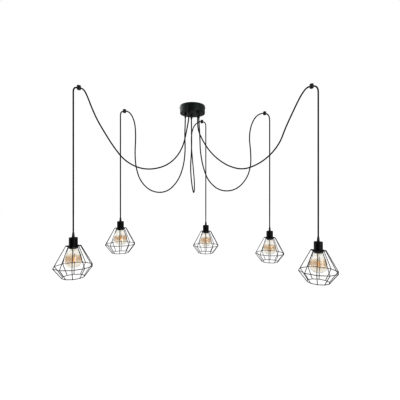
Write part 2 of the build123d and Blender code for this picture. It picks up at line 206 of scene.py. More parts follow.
def moulded(name, base, roughness, grain_mm, subsurface=0.0):
    """Moulded plastic whose bump is a field of cells of the grain's size, a fifth as deep. Subsurface
    lets light into a pale plastic."""
    material, tree, shader = start_material(
        name,
        Base_Color=colour(base),
        Roughness=roughness,
        IOR=1.53,
        Subsurface_Weight=subsurface,
        Subsurface_Scale=light_depth,
    )
    place = add_node(tree, "ShaderNodeTexCoord").outputs["Object"]
    grain = add_node(
        tree, "ShaderNodeTexVoronoi", {"Vector": place, "Scale": 1 / (grain_mm * MM)}
    ).outputs["Distance"]
    bump = add_node(
        tree,
        "ShaderNodeBump",
        {"Height": grain, "Strength": grain_strength, "Distance": grain_mm * MM * grain_depth_share},
    ).outputs["Normal"]
    tree.links.new(bump, shader.inputs["Normal"])
    return material


nylon_black = moulded("nylon_moulded_black", "#0b0b0b", roughness=0.45, grain_mm=0.4)
thermoset_black = moulded("thermoset_moulded_black", "#0a0a0a", roughness=0.32, grain_mm=0.7)
nylon_white = moulded(
    "nylon_moulded_off_white", "#d9d5c8", roughness=0.4, grain_mm=0.5, subsurface=0.1
)
print("plastics:", ", ".join(plastic.name for plastic in (nylon_black, thermoset_black, nylon_white)))

# %% [markdown]
# Zinc plate on the bracket, nickel plate on the bulbs' caps and the blackened skin of the screws are
# metals, so they keep the default IOR and get their colour from the base. Zinc shows a soft spangle a few
# millimetres across, as patches of more and less gloss, and rolled nickel is smoother.

# %% Plated metals
spangle_polish = 0.08
spangle_dulling = 0.12


def plated(name, base, roughness, spangle_mm):
    """Plated steel whose roughness follows noise of the spangle's size, from more polished to duller."""
    material, tree, shader = start_material(
        name, Base_Color=colour(base), Roughness=roughness, Metallic=1.0
    )
    place = add_node(tree, "ShaderNodeTexCoord").outputs["Object"]
    spangle = add_node(
        tree, "ShaderNodeTexNoise", {"Vector": place, "Scale": 1 / (spangle_mm * MM), "Detail": 4.0}
    ).outputs["Fac"]
    gloss = add_node(
        tree,
        "ShaderNodeMapRange",
        {"Value": spangle, "To Min": roughness - spangle_polish, "To Max": roughness + spangle_dulling},
    ).outputs["Result"]
    tree.links.new(gloss, shader.inputs["Roughness"])
    return material


zinc = plated("zinc_plate_bright", "#b9bab6", roughness=0.36, spangle_mm=5)
nickel = plated("nickel_plate_rolled", "#c9bfa8", roughness=0.26, spangle_mm=2)
black_steel = plated("blackened_steel", "#2a2927", roughness=0.45, spangle_mm=2)
print("metals:", ", ".join(metal.name for metal in (zinc, nickel, black_steel)))

# %% [markdown]
# The cords wear a woven sleeve of black rayon: sixteen bundles of yarn, eight wound each way, that pass
# over and under each other in small diamonds. The tube's UV map holds real millimetres, u round the cord
# and v along it, so two slanting families of stripes and a checkerboard that says which is on top give
# the weave. Its colour is darker where the weave is low, which is painted shade in the grooves between
# the bundles. A little sheen stands for the loose fibres.

# %% Woven cord sleeve
cord_diameter = 6.4 * MM
cord_radius = cord_diameter / 2
bundles_each_way = 8
bundle_step = math.pi * cord_diameter / MM / bundles_each_way
bundle_bulge = 0.35 * MM


def woven_sleeve():
    """Each family of bundles is |sin(pi (u + v) / step)| or |sin(pi (u - v) / step)|, highest along the
    middle of a bundle, and a checkerboard of the two lane numbers says which family lies on top."""
    material, tree, shader = start_material(
        "rayon_sleeve_woven_black",
        Base_Color=colour("#0a0909"),
        Roughness=0.85,
        Specular_IOR_Level=0.3,
        Sheen_Weight=0.03,
        Sheen_Roughness=0.4,
        Sheen_Tint=colour("#6c6a66"),
    )
    uv = add_node(tree, "ShaderNodeUVMap").outputs["UV"]
    measured = add_node(tree, "ShaderNodeSeparateXYZ", {"Vector": uv})
    u, v = measured.outputs["X"], measured.outputs["Y"]
    lanes, crowns = [], []
    for way in ("ADD", "SUBTRACT"):
        slanted = add_node(tree, "ShaderNodeMath", {0: u, 1: v}, operation=way).outputs[0]
        lane = add_node(
            tree, "ShaderNodeMath", {0: slanted, 1: 1 / bundle_step}, operation="MULTIPLY"
        ).outputs[0]
        phase = add_node(tree, "ShaderNodeMath", {0: lane, 1: math.pi}, operation="MULTIPLY").outputs[0]
        wave = add_node(tree, "ShaderNodeMath", {0: phase}, operation="SINE").outputs[0]
        lanes.append(lane)
        crowns.append(add_node(tree, "ShaderNodeMath", {0: wave}, operation="ABSOLUTE").outputs[0])
    both = add_node(tree, "ShaderNodeCombineXYZ", {"X": lanes[0], "Y": lanes[1]}).outputs[0]
    over = add_node(tree, "ShaderNodeTexChecker", {"Vector": both, "Scale": 1.0}).outputs["Fac"]
    height = add_node(
        tree, "ShaderNodeMix", {"Factor": over, 2: crowns[0], 3: crowns[1]}, data_type="FLOAT"
    ).outputs[0]
    # The colour is darker where the weave is low and lighter on the crowns: painted shade in the grooves
    # between the bundles.
    shade = add_node(
        tree,
        "ShaderNodeMix",
        {"Factor": height, 6: colour("#040404"), 7: colour("#0e0d0d")},
        data_type="RGBA",
    ).outputs[2]
    bump = add_node(
        tree, "ShaderNodeBump", {"Height": height, "Strength": 0.8, "Distance": bundle_bulge}
    ).outputs["Normal"]
    tree.links.new(shade, shader.inputs["Base Color"])
    tree.links.new(bump, shader.inputs["Normal"])
    return material


sleeve = woven_sleeve()
print(f"sleeve: a bundle of yarn every {bundle_step:.2f} mm round the cord")

# %% [markdown]
# The bulbs are blown soda-lime glass with an amber tint that is darker in a band round the middle than at
# the neck or the crown. The profile's v coordinate runs from the crown to the neck, so a colour ramp along
# v sets the tint, and slow noise added to v makes the band's edges uneven. A real wall thickness lets
# light enter and leave as it does in glass. The stem inside is clear glass.

# %% Amber and clear glass
cloud_size = 28 * MM
cloud_shift = 0.14
# Tints along v from the crown to the neck: a tan band round the middle, paler at both ends.
middle_band_tints = [
    (0.0, "#fbf8f2"), (0.24, "#fbf9f4"), (0.36, "#e7dbcc"), (0.56, "#e7d8c5"), (0.7, "#fbfaf7"),
]


def amber_glass():
    """Clear glass tinted by the ramp of band tints at v plus up to 0.14 of noise to each side."""
    material, tree, shader = start_material(
        "soda_lime_glass_amber", Roughness=0.02, IOR=1.45, Transmission_Weight=1.0
    )
    uv = add_node(tree, "ShaderNodeUVMap").outputs["UV"]
    v = add_node(tree, "ShaderNodeSeparateXYZ", {"Vector": uv}).outputs["Y"]
    place = add_node(tree, "ShaderNodeTexCoord").outputs["Object"]
    cloud = add_node(
        tree, "ShaderNodeTexNoise", {"Vector": place, "Scale": 1 / cloud_size, "Detail": 2.0}
    ).outputs["Fac"]
    drift = add_node(
        tree, "ShaderNodeMapRange", {"Value": cloud, "To Min": -cloud_shift, "To Max": cloud_shift}
    ).outputs["Result"]
    clouded = add_node(tree, "ShaderNodeMath", {0: v, 1: drift}, operation="ADD").outputs[0]
    ramp = add_node(tree, "ShaderNodeValToRGB", {"Fac": clouded})
    stops = ramp.color_ramp.elements
    for stop, (position, tint) in zip(stops, (middle_band_tints[0], middle_band_tints[-1])):
        stop.position = position
        stop.color = colour(tint)
    for position, tint in middle_band_tints[1:-1]:
        stops.new(position).color = colour(tint)
    tree.links.new(ramp.outputs["Color"], shader.inputs["Base Color"])
    return material


amber = amber_glass()
clear_glass = start_material(
    "flint_glass_stem", Base_Color=colour("#f4f1ea"), Roughness=0.04, IOR=1.5, Transmission_Weight=1.0
)[0]
print("glasses:", amber.name, "and", clear_glass.name)

# %% [markdown]
# A filament lamp of this kind holds slim sticks coated with phosphor, which look like yellow chalk when
# off and glow orange when dimmed. The photograph shows a warm glow in the middle of each bulb, so they are
# lit low. Noise along the sticks makes the glow uneven.

# %% Glowing filaments
glow_strength = 0.6
glow_ripples = 2.0


def glowing_stick():
    """Phosphor that gives off light between two oranges, mixed by noise of the v coordinate."""
    material, tree, shader = start_material(
        "phosphor_stick_dimmed",
        Base_Color=colour("#efcf98"),
        Roughness=0.6,
        Emission_Strength=glow_strength,
    )
    uv = add_node(tree, "ShaderNodeUVMap").outputs["UV"]
    v = add_node(tree, "ShaderNodeSeparateXYZ", {"Vector": uv}).outputs["Y"]
    ripple = add_node(
        tree, "ShaderNodeTexNoise", {"Vector": v, "Scale": glow_ripples, "Detail": 2.0}
    ).outputs["Fac"]
    glow = add_node(
        tree,
        "ShaderNodeMix",
        {"Factor": ripple, 6: colour("#ffbe7a"), 7: colour("#ffd094")},
        data_type="RGBA",
    ).outputs[2]
    tree.links.new(glow, shader.inputs["Emission Color"])
    return material


phosphor = glowing_stick()
print("sticks:", phosphor.name, "at strength", glow_strength)

# %% [markdown]
# Every new piece is a grid of points: rows along it and columns round it. One function turns such a grid
# into a mesh. It numbers the points as one array, so that the faces are four shifted copies of it, and
# welds the points that fall together at a pole or a seam. Its UV map takes u from the columns and v from
# the rows.

# %% From a grid of points to a mesh
weld_distance = 1e-7


def skin(name, grids, material, smooth_deg=40, u_span=1.0, v_rows=None):
    """A mesh over one or more grids, each rows x columns x 3 and closed round its columns. A face joins
    the points (row, column), (row, next column), (next row, next column) and (next row, column). Open
    ends are closed with one face each. u is the column's share of a turn times u_span, and v is the row's
    share, or what v_rows gives for it."""
    corners, faces, rounds, lengths = [], [], [], []
    start = 0
    for grid in grids:
        rows, columns = grid.shape[:2]
        numbers = np.arange(rows * columns).reshape(rows, columns) + start
        right = np.roll(numbers, -1, axis=1)
        quads = np.stack([numbers[:-1], right[:-1], right[1:], numbers[1:]], axis=-1).reshape(-1, 4)
        column = np.broadcast_to(np.arange(columns), (rows - 1, columns))
        row_v = np.linspace(0, 1, rows) if v_rows is None else v_rows
        low_v = np.broadcast_to(row_v[:-1, None], (rows - 1, columns))
        high_v = np.broadcast_to(row_v[1:, None], (rows - 1, columns))
        turned_columns = np.stack([column, column + 1, column + 1, column], axis=-1).reshape(-1)
        rounds.append(turned_columns / columns * u_span)
        lengths.append(np.stack([low_v, low_v, high_v, high_v], axis=-1).reshape(-1))
        corners.append(grid.reshape(-1, 3))
        faces.append(quads)
        start += rows * columns
    mesh = bpy.data.meshes.new(name)
    mesh.from_pydata(np.concatenate(corners), [], np.concatenate(faces).tolist())
    uv = mesh.uv_layers.new(name="UVMap")
    uv.data.foreach_set("uv", np.stack([np.concatenate(rounds), np.concatenate(lengths)], axis=-1).ravel())
    shape = bmesh.new()
    shape.from_mesh(mesh)
    bmesh.ops.remove_doubles(shape, verts=shape.verts, dist=weld_distance)
    bmesh.ops.holes_fill(shape, edges=[edge for edge in shape.edges if edge.is_boundary])
    bmesh.ops.recalc_face_normals(shape, faces=shape.faces)
    shape.to_mesh(mesh)
    shape.free()
    mesh.shade_smooth()
    mesh.set_sharp_from_angle(angle=math.radians(smooth_deg))
    mesh.materials.append(material)
    piece = bpy.data.objects.new(name, mesh)
    scene.collection.objects.link(piece)
    return piece


# %% [markdown]
# Three functions give the shapes. An outline is a polyline with rounded corners, because nothing that is
# pressed, moulded or bent has a sharp one. A turned grid carries such an outline round an axis, as a lathe
# does, and a tube carries a circle along a path, for wires and cords. A fourth one puts a grid in its
# place.

# %% Outlines, turned pieces and tubes
longest_arc_share = 0.45


def outline(corners, bends, steps=5):
    """A polyline whose corners are rounded. A corner with radius b starts its arc b / tan(half the angle
    between its two runs) before the corner, or at most 0.45 of the shorter run, and the arc is a
    quadratic curve steered by the corner."""
    corners = [np.array(corner, float) for corner in corners]
    bends = np.broadcast_to(bends, len(corners))
    points = [corners[0]]
    for before, corner, after, bend in zip(corners, corners[1:], corners[2:], bends[1:]):
        to_before, to_after = before - corner, after - corner
        lengths = np.linalg.norm(to_before), np.linalg.norm(to_after)
        to_before, to_after = to_before / lengths[0], to_after / lengths[1]
        half_angle = math.acos(np.clip(to_before @ to_after, -1, 1)) / 2
        reach = min(bend / math.tan(half_angle), longest_arc_share * min(lengths)) if bend else 0
        if reach <= 0:
            points.append(corner)
            continue
        share = np.linspace(0, 1, steps + 1)[:, None]
        first, last = corner + to_before * reach, corner + to_after * reach
        points.extend((1 - share) ** 2 * first + 2 * share * (1 - share) * corner + share**2 * last)
    points.append(corners[-1])
    return np.array(points)


def turned(profile, columns=48):
    """A surface of revolution about Z: a profile point (r, z) becomes (r cos a, r sin a, z) at each
    angle a."""
    angle = np.arange(columns) / columns * 2 * np.pi
    radius, height = profile[:, 0:1], profile[:, 1:2]
    return np.stack(
        [radius * np.cos(angle), radius * np.sin(angle), np.broadcast_to(height, (len(profile), columns))],
        axis=-1,
    )


def tube(path, radius, reference, sides=10, closed=False):
    """A circle carried along a path: at each point it stands square to the path's tangent, and the
    reference direction, less its part along the tangent, says which way its first side faces."""
    if closed:
        tangent = np.roll(path, -1, axis=0) - np.roll(path, 1, axis=0)
    else:
        tangent = np.gradient(path, axis=0)
    tangent = tangent / np.linalg.norm(tangent, axis=1, keepdims=True)
    side = np.cross(tangent, np.asarray(reference, float))
    side = side / np.linalg.norm(side, axis=1, keepdims=True)
    outward = np.cross(side, tangent)
    angle = (np.arange(sides) / sides * 2 * np.pi)[:, None]
    ring = path[:, None] + radius * (np.cos(angle) * side[:, None] + np.sin(angle) * outward[:, None])
    return np.concatenate([ring, ring[:1]]) if closed else ring


def placed(grid, place, turn_deg=0.0):
    """A grid turned about Z by an angle t and moved to a place: x' = x cos t - y sin t and
    y' = x sin t + y cos t."""
    angle = math.radians(turn_deg)
    cosine, sine = math.cos(angle), math.sin(angle)
    spin = np.array([[cosine, sine, 0], [-sine, cosine, 0], [0, 0, 1]])
    return grid @ spin + np.asarray(place, float)


origin = (0, 0, 0)
up = np.array([0, 0, 1])
print("a rounded corner gives", len(outline([(0, 0), (1, 0), (1, 1)], 0.2)), "points")

# %% [markdown]
# Each cord swags from a gland to a hook, so these places come first. The glands stand on a circle in the
# canopy's floor. The hooks are placed in shares of one span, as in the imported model. A hook is bored along
# the line from its gland, all but the third, whose bore is turned aside, because the photograph shows its
# swag nearly end-on.

# %% Places of the glands and hooks
cord_count = 5
gland_circle = 43 * MM
gland_first_deg = -44
gland_step_deg = -72
gland_order = (1, 2, 3, 4, 0)
span = 1126 * MM
hook_place_shares = [
    (-0.484, -0.2647), (-0.3721, 0.0488), (0.0515, 0.2504), (0.4014, 0.087), (0.516, -0.2806),
]
hook_turns_deg = [0, 0, -62, 0, 0]


def turned_about_z(vector, degrees):
    """A vector turned about Z, as a grid with one point."""
    return placed(np.array([vector]), origin, degrees)[0]


glands = [turned_about_z((gland_circle, 0, 0), gland_first_deg + gland_step_deg * n) for n in gland_order]
hooks = [np.array([x * span, y * span, 0]) for x, y in hook_place_shares]
reaches = [np.linalg.norm(hook - gland) for gland, hook in zip(glands, hooks)]
lines = [(hook - gland) / reach for gland, hook, reach in zip(glands, hooks, reaches)]
bores = [turned_about_z(line, turn) for line, turn in zip(lines, hook_turns_deg)]
print("from gland to hook in metres:", ", ".join(f"{reach:.3f}" for reach in reaches))

# %% [markdown]
# A cord hangs in a smooth line, so its route is a short list of given points and a NURBS curve that they
# steer. The routes start inside the canopy, leave their glands straight down, sag, climb to their hooks,
# pass through them level and turn down. The lists give each free stretch as three shares, as the imported
# model does: the first along the way from gland to hook, and the others aside and below, both in parts of
# the deepest swag.

# %% Routes of the five swags
canopy_height = 44 * MM
gland_height = 20 * MM
hook_height = 20 * MM
cord_tail = 10 * MM
gland_lead = 20 * MM
hook_lead = 20 * MM
hook_tail = 14 * MM
swag_depth = 511 * MM
bend_runs = [run * MM for run in (15, 17, 20, 28, 22)]
swag_route_shares = [
    [
        (0.03, 0, 0.323), (0.06, 0, 0.476), (0.13, 0, 0.614), (0.235, 0, 0.714), (0.37, 0, 0.763),
        (0.50, 0, 0.759), (0.63, 0, 0.685), (0.72, 0, 0.558), (0.79, 0, 0.434), (0.858, 0, 0.303),
        (0.905, 0, 0.18), (0.935, 0, 0.086),
    ],
    [
        (0.01, 0, 0.337), (0.0, 0, 0.515), (0.03, 0, 0.701), (0.12, 0, 0.873), (0.30, 0, 1),
        (0.54, 0, 0.996), (0.73, 0, 0.873), (0.81, 0, 0.697), (0.825, 0, 0.517), (0.81, 0, 0.348),
        (0.82, 0, 0.18), (0.875, 0, 0.07),
    ],
    [
        (0.02, 0, 0.337), (0.05, 0.006, 0.515), (0.10, 0.028, 0.693), (0.22, 0.032, 0.869),
        (0.42, 0.038, 0.994), (0.66, 0.059, 0.988), (0.84, 0.082, 0.857), (0.92, 0.108, 0.685),
        (0.95, 0.129, 0.513), (0.965, 0.145, 0.341), (0.975, 0.145, 0.176), (0.985, 0.11, 0.067),
    ],
    [
        (0.015, 0, 0.337), (0.02, 0, 0.515), (0.06, 0, 0.701), (0.14, 0, 0.871), (0.32, 0, 0.986),
        (0.55, 0, 0.971), (0.72, 0, 0.834), (0.785, 0, 0.665), (0.78, 0, 0.489), (0.755, 0, 0.323),
        (0.787, 0, 0.17), (0.86, 0, 0.063),
    ],
    [
        (0.004, 0, 0.297), (0.062, 0, 0.434), (0.13, 0, 0.552), (0.225, 0, 0.659), (0.33, 0, 0.734),
        (0.45, 0, 0.771), (0.575, 0, 0.726), (0.68, 0, 0.642), (0.76, 0, 0.524), (0.80, 0, 0.393),
        (0.85, 0, 0.264), (0.895, 0, 0.151), (0.93, 0, 0.074),
    ],
]


def swag_points(number):
    """The route's points: out of the gland, along the listed shares, level through the hook, and
    down over a bend whose first half slopes at 45 degrees."""
    gland, hook, line, bore = glands[number], hooks[number], lines[number], bores[number]
    left = turned_about_z(line, 90)
    points = [
        gland - up * (canopy_height - cord_tail),
        gland - up * (canopy_height + gland_height + gland_lead),
    ]
    for along, aside, below in swag_route_shares[number]:
        points.append(gland + line * along * reaches[number] + (left * aside - up * below) * swag_depth)
    bore_middle = hook - up * hook_height / 2
    points += [bore_middle - bore * hook_lead, bore_middle + bore * hook_tail]
    points.append(points[-1] + (bore - up) * bend_runs[number] * math.sqrt(0.5))
    points.append(points[-1] - up * bend_runs[number])
    return np.array(points)


print("points on the routes:", [len(swag_points(number)) for number in range(cord_count)])

# %% [markdown]
# The line of each cord is read from its NURBS curve, which is made without any thickness for that, then
# walked in even steps. The tube round it is a mesh with its own UV map in millimetres, so that the weave
# keeps its size in every bend.

# %% Lines and sleeves of the cords
curve_order = 3
curve_resolution = 24


def smooth_line(points, step):
    """The line of an open NURBS curve steered by the points, walked in even steps: the distance along it
    is the running sum of its pieces, and each step's place is read off between them."""
    curve = bpy.data.curves.new("route", "CURVE")
    curve.dimensions = "3D"
    spline = curve.splines.new("NURBS")
    spline.points.add(len(points) - 1)
    spline.points.foreach_set("co", np.column_stack([points, np.ones(len(points))]).ravel())
    spline.order_u = curve_order
    spline.use_endpoint_u = True
    spline.resolution_u = curve_resolution
    route = bpy.data.objects.new("route", curve)
    line_mesh = bpy.data.meshes.new_from_object(route)
    line = np.empty(len(line_mesh.vertices) * 3)
    line_mesh.vertices.foreach_get("co", line)
    line = line.reshape(-1, 3)
    bpy.data.objects.remove(route)
    bpy.data.curves.remove(curve)
    bpy.data.meshes.remove(line_mesh)
    gone = np.concatenate([[0], np.cumsum(np.linalg.norm(np.diff(line, axis=0), axis=1))])
    walked = np.linspace(0, gone[-1], round(gone[-1] / step) + 1)
    even = np.stack([np.interp(walked, gone, line[:, axis]) for axis in range(3)], axis=1)
    return even, gone[-1]


def cord_piece(name, line, length, reference):
    """A sleeve along a line, whose UV map holds millimetres round the cord and along it."""
    return skin(
        name,
        [tube(line, cord_radius, reference, sides=16)],
        sleeve,
        u_span=math.pi * cord_diameter / MM,
        v_rows=np.linspace(0, length / MM, len(line)),
    )


# %% [markdown]
# A cord is one length on the real light and two pieces here. The swag stays with the ceiling. The hanging
# stretch is a second tube that runs straight down to the lamp. Its curve is steered by a point a short
# way below its top, because the real cord only gives where it leaves its hook.

# %% Five cords
walk_step = 2.5 * MM
bend_length = 60 * MM

for number in range(cord_count):
    points = swag_points(number)
    line, length = smooth_line(points, walk_step)
    reference = turned_about_z(lines[number], 90)
    swag = cord_piece(f"swag_{number + 1}", line, length, reference)
    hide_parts(f"cord_swag_{number + 1}")
    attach(swag, "ceiling")
    top = points[-1]
    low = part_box(f"cord_drop_{number + 1}")[0]
    hang = up * (low.z - top[2])
    bend_end = top - up * bend_length
    drop_line, drop_length = smooth_line([top, bend_end, top + hang / 2, top + hang], walk_step)
    drop = cord_piece(f"drop_{number + 1}", drop_line, drop_length, reference)
    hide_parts(f"cord_drop_{number + 1}")
    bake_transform(drop)
    print(f"cord {number + 1}: swag {length:.3f} m, drop {drop_length:.3f} m")

# %% [markdown]
# The canopy is a steel cup pressed from sheet, so its lower edge is rolled to a small radius and its wall
# is the same all over. Its outline runs up the outside, over the rim and down the inside, and one turn
# about the axis makes both skins at once. Nothing is drawn where the glands stand, because their collars
# cover the holes.

# %% Canopy cup
canopy_radius = 74 * MM
canopy_wall = 1.2 * MM
inside_radius = canopy_radius - canopy_wall
edge_bend = 3 * MM
rim_bend = 0.4 * MM

cup = outline(
    [
        (0, -canopy_height), (canopy_radius, -canopy_height), (canopy_radius, 0), (inside_radius, 0),
        (inside_radius, canopy_wall - canopy_height), (0, canopy_wall - canopy_height),
    ],
    [0, edge_bend, rim_bend, rim_bend, edge_bend - canopy_wall, 0],
    steps=8,
)
canopy = skin("canopy_cup", [turned(cup, 160)], canopy_coat)
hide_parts("canopy_cover")
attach(canopy, "ceiling")
print("canopy:", len(canopy.data.polygons), "faces")

# %% [markdown]
# Each gland is a moulded nose that grips its cord: a collar with flats for a spanner, a groove, a taper
# with a rounded shoulder, and a soft lip round the cord. The turned profile carries them all but the
# flats, to which the collar is cut back afterwards. The grips on top of the lamps have the same form.

# %% Glands and cord grips
nose_columns = 72


def nose(collar_radius, collar_height, tip_radius, height, flats):
    """A strain relief that stands on z = 0 and points up: a collar, a groove, a taper and a rounded lip.
    The collar is cut back to a regular polygon, flat / cos(a - nearest flat), where that is smaller."""
    groove_radius = collar_radius * 0.84
    flat = collar_radius * 0.93
    groove_top = collar_height + 1.2 * MM
    shoulder = (tip_radius * 1.12, height * 0.8)
    corners = [
        (cord_radius, 0), (collar_radius, 0), (collar_radius, collar_height),
        (groove_radius, collar_height), (groove_radius, groove_top), (flat, groove_top), shoulder,
        (tip_radius, height), (cord_radius + 0.2 * MM, height), (cord_radius, height - 0.8 * MM),
    ]
    bends_mm = np.array([0, 0.5, 0.5, 0.2, 0.2, 0.6, 2, 1, 0.3, 0])
    grid = turned(outline(corners, bends_mm * MM), nose_columns)
    angle = np.arange(nose_columns) / nose_columns * 2 * np.pi
    half_step = np.pi / flats
    polygon = flat / np.cos((angle + half_step) % (2 * half_step) - half_step)
    reach = np.linalg.norm(grid[..., :2], axis=-1)
    on_collar = (grid[..., 2] <= collar_height) & (reach > polygon)
    shrink = np.where(on_collar, polygon / np.maximum(reach, cord_radius), 1)
    grid[..., :2] *= shrink[..., None]
    return grid


half_turn_about_x = np.array([1, -1, -1])
gland_turn_deg = 30
gland_grid = nose(
    collar_radius=7 * MM, collar_height=4 * MM, tip_radius=4.6 * MM, height=gland_height, flats=6
)
hanging_grid = gland_grid * half_turn_about_x
gland_grids = [placed(hanging_grid, gland - up * canopy_height, gland_turn_deg) for gland in glands]
gland_piece = skin("cord_glands_moulded", gland_grids, nylon_black, smooth_deg=35)
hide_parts("cord_glands")
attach(gland_piece, "ceiling")
print("glands:", len(gland_grids), "noses in one piece of", len(gland_piece.data.polygons), "faces")

# %% [markdown]
# A ceiling hook is a small turned cylinder with a hole bored across it for the cord, with eased edges. A
# Boolean modifier bores one blank, as a drill would, and the five hooks are that blank turned to their
# cords.

# %% Ceiling hooks
hook_radius = 9 * MM
bore_radius = 3.9 * MM
mouth_radius = 6.2 * MM
flare_start = 7.6 * MM
flare_end = 9.4 * MM
drill_reach = 14 * MM
hook_smooth_deg = 35


def bored_hook(name):
    """A turned blank with a cross bore along X whose mouths flare. The drill is turned about Z like the
    blank and laid along X, as its coordinates change places. The mesh is read after the Boolean."""
    blank = outline(
        [(0, 0), (hook_radius, 0), (hook_radius, -hook_height), (0, -hook_height)],
        [0, 0.5 * MM, 1.6 * MM, 0],
    )
    body = skin(name, [turned(blank, 64)], hook_coat)
    bore = outline(
        [
            (0, -drill_reach), (mouth_radius, -drill_reach), (mouth_radius, -flare_end),
            (bore_radius, -flare_start), (bore_radius, flare_start), (mouth_radius, flare_end),
            (mouth_radius, drill_reach), (0, drill_reach),
        ],
        0.6 * MM,
    )
    drill_grid = turned(bore, 48)[..., [2, 0, 1]] - up * hook_height / 2
    drill = skin("drill", [drill_grid], hook_coat)
    cut = body.modifiers.new("bore", "BOOLEAN")
    cut.object = drill
    cut.solver = "EXACT"
    bpy.context.view_layer.update()
    evaluated = body.evaluated_get(bpy.context.evaluated_depsgraph_get())
    bored = bpy.data.meshes.new_from_object(evaluated)
    bpy.data.objects.remove(body)
    bpy.data.objects.remove(drill)
    return bored


hook_mesh = bored_hook("hook_blank")
hook_points = np.empty(len(hook_mesh.vertices) * 3)
hook_mesh.vertices.foreach_get("co", hook_points)
hook_points = hook_points.reshape(-1, 3)
for number, (hook, bore) in enumerate(zip(hooks, bores), start=1):
    mesh = hook_mesh.copy()
    bore_deg = math.degrees(math.atan2(bore[1], bore[0]))
    mesh.vertices.foreach_set("co", placed(hook_points, hook, bore_deg).ravel())
    mesh.shade_smooth()
    mesh.set_sharp_from_angle(angle=math.radians(hook_smooth_deg))
    hook_piece = bpy.data.objects.new(f"hook_{number}", mesh)
    scene.collection.objects.link(hook_piece)
    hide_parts("ceiling_hooks")
    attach(hook_piece, "ceiling")
    print(f"hook {number}: bored at {bore_deg:.0f} degrees")

# %% [markdown]
# Each lamp hangs on its own body, turned to its own angle. Its pieces are worked out once, about an
# upright axis with z = 0 at the cage's belt, and then placed five times. A function per piece gives its
# grids, and one loop at the end makes, replaces and hangs them.

# %% Sizes of a lamp
belt_radius = 90 * MM
top_radius = 34.9 * MM
ring_radius = 50.9 * MM
top_height = 99 * MM
ring_depth = 51.5 * MM
wire_radius = 1.5 * MM
cage_sides = 10
cage_step_deg = 360 / cage_sides
packed_wire_half = 1.3 * MM
plate_top = top_height - packed_wire_half
plate_under = plate_top - 1.5 * MM
plate_radius = 28 * MM
holder_radius = 20 * MM
holder_top = plate_top + 42 * MM
socket_radius = 17 * MM
clearance_radius = 17.4 * MM
contact_top = plate_top + 15.1 * MM
cap_length = 27 * MM
cap_under = contact_top - cap_length
glass_height = 93 * MM
globe_radius = 40 * MM
lamp_turns_deg = [-69, -78, -95, -107, -117]
lamp_height = holder_top + ring_depth
print(f"lamp: {2 * belt_radius / MM:.0f} mm across, {lamp_height / MM:.1f} mm from ring to holder top")

# %% [markdown]
# The cage is the piece that people see first. Ten wires start flat on the plate, bend down to the belt
# and in to the small ring, and a belt and a ring of bent wire join them, with a bead of weld at each
# crossing. A wire is a circle carried along a bent path. The ten ribs are one path turned ten times.

# %% Wire cage
rib_start_radius = 22 * MM
rib_bends = [0, 3 * MM, 4 * MM, 0]
ring_bend = 4 * MM
bead_radius = 1.8 * MM
bead_half_height = 1.6 * MM
joined_rings = ((belt_radius, 0), (ring_radius, -ring_depth))


def cage_grids():
    """The ten ribs are the rib's grid turned by 36 degrees times their number. The two rings are closed
    ten-sided paths whose corners stand at the ribs: their outline goes one side past a full turn, and
    its two unrounded ends are left out."""
    rib = outline(
        [
            (rib_start_radius, top_height), (top_radius, top_height), (belt_radius, 0),
            (ring_radius, -ring_depth),
        ],
        rib_bends,
        steps=6,
    )
    rib_path = np.stack([rib[:, 0], np.zeros(len(rib)), rib[:, 1]], axis=1)
    rib_grid = tube(rib_path, wire_radius, (0, 1, 0))
    grids = [placed(rib_grid, origin, cage_step_deg * side) for side in range(cage_sides)]
    corner = np.arange(cage_sides + 2) * math.radians(cage_step_deg)
    for radius, height in joined_rings:
        ring = np.stack([radius * np.cos(corner), radius * np.sin(corner)], axis=1)
        bent = outline(ring, ring_bend)[1:-1]
        path = np.column_stack([bent, np.full(len(bent), height)])
        grids.append(tube(path, wire_radius, (0, 0, 1), closed=True))
    return grids


def bead_grids():
    """Weld beads at the belt's and the ring's corners: flattened balls (r sin t, h cos t), turned."""
    turn = np.linspace(0, np.pi, 9)
    bead = turned(np.stack([bead_radius * np.sin(turn), bead_half_height * np.cos(turn)], axis=1), 14)
    return [
        placed(placed(bead, (radius, 0, height)), origin, cage_step_deg * side)
        for radius, height in joined_rings
        for side in range(cage_sides)
    ]


def plate_grid():
    """The plate is a flat ring with eased edges, turned from a closed outline."""
    edge = outline(
        [
            (clearance_radius, plate_under), (plate_radius, plate_under), (plate_radius, plate_top),
            (clearance_radius, plate_top), (clearance_radius, plate_under),
        ],
        0.5 * MM,
    )
    return [turned(edge, 96)]


cage_wires = cage_grids()
cage_beads = bead_grids()
print("cage:", len(cage_wires), "wires and", len(cage_beads), "beads")

# %% [markdown]
# The lamp holder is a drawn steel cup with rounded shoulders and a fine bead near its rim. It is open
# below, so its outline goes up the outside and back down the inside. The moulded socket inside it is a
# cup too. The shade ring below the plate has grip ribs, which are a ripple in its radius.

# %% Lamp holder, socket and shade ring
holder_wall = 1.5 * MM
rim_step = 0.3 * MM
cord_hole_radius = 5.2 * MM
socket_space_radius = 13.9 * MM
shade_radius = 22 * MM
shade_columns = 240
shade_ribs = 40
rib_depth = 0.35 * MM
ribbed_from = 21.5 * MM


def holder_grid():
    """A turned cup whose rim stands out by 0.3 mm up to the bead."""
    inside = holder_radius - holder_wall
    rim = holder_radius + rim_step
    bead = plate_top + 5 * MM
    cup_outline = outline(
        [
            (inside, plate_top), (rim, plate_top), (rim, bead), (holder_radius, bead + 0.8 * MM),
            (holder_radius, holder_top), (cord_hole_radius, holder_top),
            (cord_hole_radius, holder_top - holder_wall), (inside, holder_top - holder_wall),
            (inside, plate_top),
        ],
        np.array([0, 0.4, 0.6, 0.6, 2.2, 0.4, 0.4, 1, 0]) * MM,
    )
    return [turned(cup_outline, 96)]


